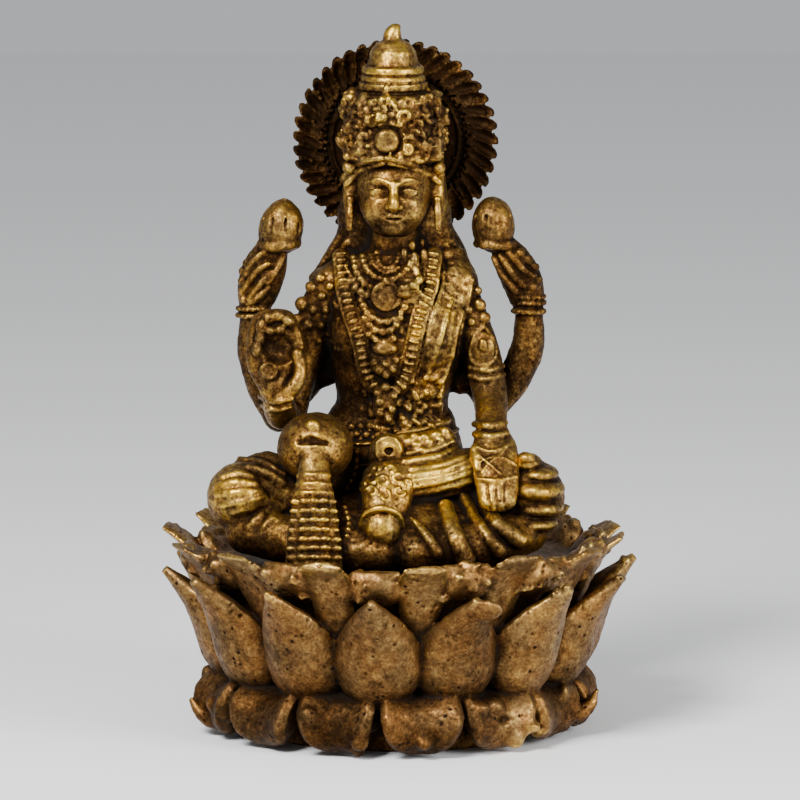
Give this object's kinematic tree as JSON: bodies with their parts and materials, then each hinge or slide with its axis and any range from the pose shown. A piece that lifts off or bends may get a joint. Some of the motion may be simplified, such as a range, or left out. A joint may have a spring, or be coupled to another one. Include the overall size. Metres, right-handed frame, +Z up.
{
  "type": "lakshmi figure",
  "caption": "Small cast brass goddess with raised and lowered hands and a toothed halo, seated on a double lotus plinth; a shrine or shelf ornament.",
  "frame": {"origin": "centre of the plinth's flat underside", "axes": "+Z up through the crown, the goddess faces -Y, +X on her left"},
  "size_m": [0.0602, 0.0602, 0.09],
  "materials": {
    "figure_brass": "cast brass, rubbed bright on the high spots, with black-brown patina in the recesses",
    "lotus_brass": "coarse, pitted cast brass with a browner patina and rubbed petal edges"
  },
  "bodies": {
    "root": {"goddess_figure": "figure_brass", "lotus_plinth": "lotus_brass"}
  },
  "joints": []
}
